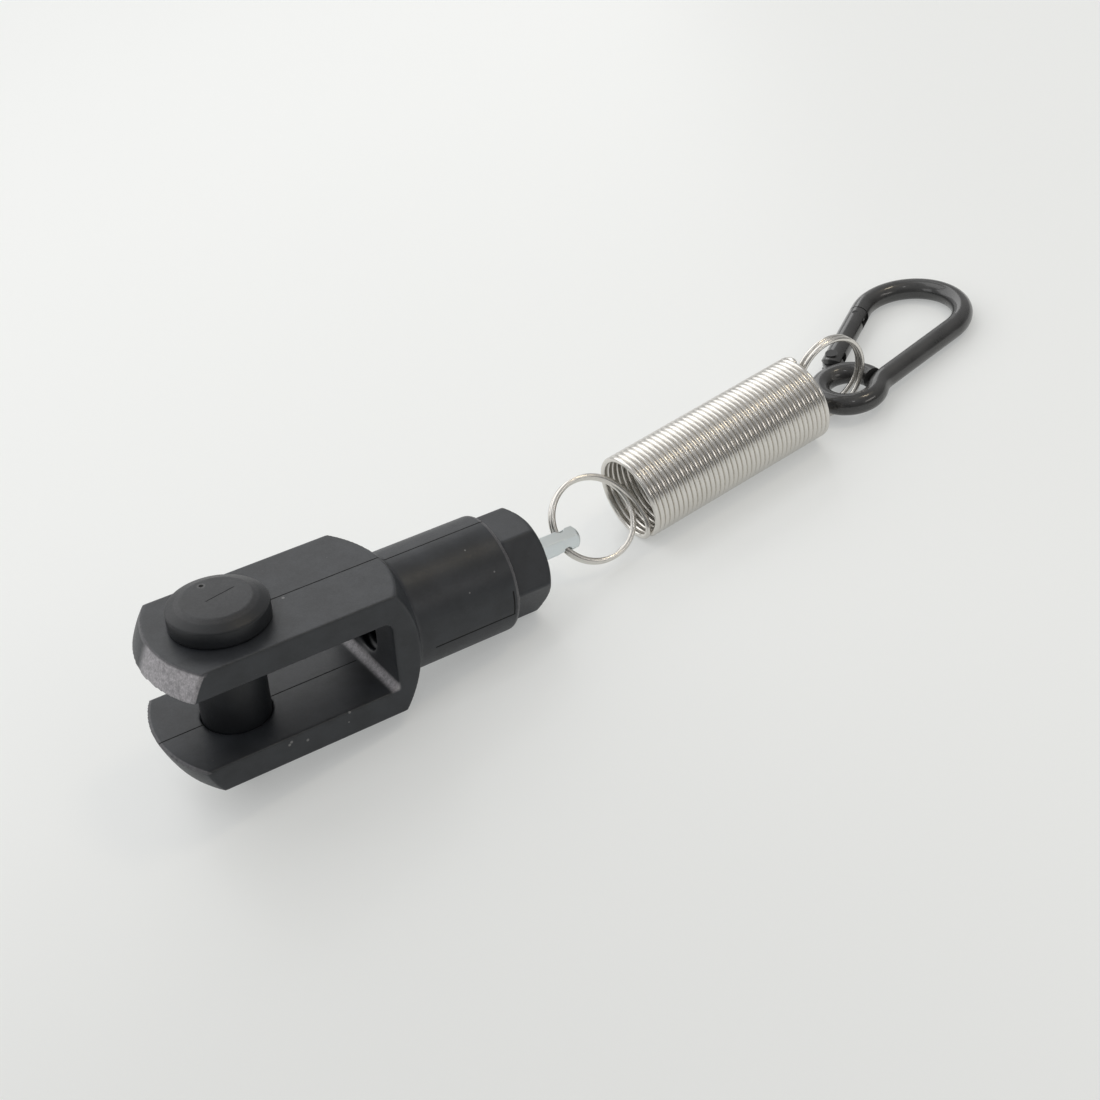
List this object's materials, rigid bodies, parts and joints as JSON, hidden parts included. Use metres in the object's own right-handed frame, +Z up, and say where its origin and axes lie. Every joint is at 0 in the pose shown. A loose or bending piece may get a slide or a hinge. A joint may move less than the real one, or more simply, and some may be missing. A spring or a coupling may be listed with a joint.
{
  "type": "spring tether",
  "caption": "Plastic fork head with a headed pin, joined by a cross-drilled rod to a close-wound extension spring whose far loop carries a small gated snap hook.",
  "frame": {"origin": "centre of the fork pin, in the middle of the fork's slot", "axes": "+X along the object from the fork's nose to the snap hook, +Y towards the side of the hook that holds the gate, +Z up from the surface that it lies on"},
  "size_m": [0.1938, 0.037, 0.0366],
  "materials": {
    "black_plastic": "moulded charcoal plastic, satin",
    "pin_plastic": "moulded charcoal plastic, satin",
    "zinc_steel": "bright zinc plate, bluish",
    "clip_steel": "plain spring steel",
    "spring_wire": "bright drawn wire",
    "black_paint": "glossy black coating",
    "rivet_steel": "blackened steel",
    "inner_steel": "plain steel"
  },
  "bodies": {
    "fork": {"fork_head": "black_plastic", "rod_bush": "zinc_steel", "draw_rod": "zinc_steel"},
    "pin": {"clevis_pin": "pin_plastic", "retaining_clip": "clip_steel"},
    "spring_near": {"spring_near_end": "spring_wire", "spring_coils": "spring_wire"},
    "spring_far": {"spring_far_end": "spring_wire"},
    "hook": {"hook_body": "black_paint", "gate_rivet": "rivet_steel"},
    "gate": {"hook_gate": "black_paint", "latch_pin": "rivet_steel", "gate_spring": "inner_steel"},
    "plunger": {"gate_plunger": "inner_steel"}
  },
  "joints": [
    {"name": "pin_turn", "type": "hinge", "parent": "fork", "child": "pin", "pos_m": [0, 0, 0], "axis": [0.1698, 0, 0.9855], "continuous": true},
    {"name": "spring_swing", "type": "hinge", "parent": "fork", "child": "spring_near", "pos_m": [0.06623, 0, -0.01141], "axis": [0.125, 0.6769, 0.7254], "range_deg": [-95, 95]},
    {"name": "spring_stretch", "type": "slide", "parent": "spring_near", "child": "spring_far", "axis": [1, -0.0087, 0], "range_m": [0, 0.1], "stiffness_N_per_m": 87, "springref_m": -0.02, "deforming": ["spring_coils"]},
    {"name": "hook_swing", "type": "hinge", "parent": "spring_far", "child": "hook", "pos_m": [0.13353, 0.00127, -0.01088], "axis": [-0.0087, -1, 0], "range_deg": [-20, 120]},
    {"name": "gate_open", "type": "hinge", "parent": "hook", "child": "gate", "pos_m": [0.1421, 0.01049, -0.01618], "axis": [0.0304, 0.0044, 0.9995], "range_deg": [-30, 0], "stiffness_Nm_per_rad": 0.02, "springref_deg": 40.11},
    {"name": "plunger_slide", "type": "slide", "parent": "gate", "child": "plunger", "axis": [-0.8585, -0.512, 0.0284], "range_m": [-0.0005, 0]}
  ],
  "couplings": [
    {"joint": "plunger_slide", "follows": "gate_open", "m_per_rad": 0.00088}
  ]
}
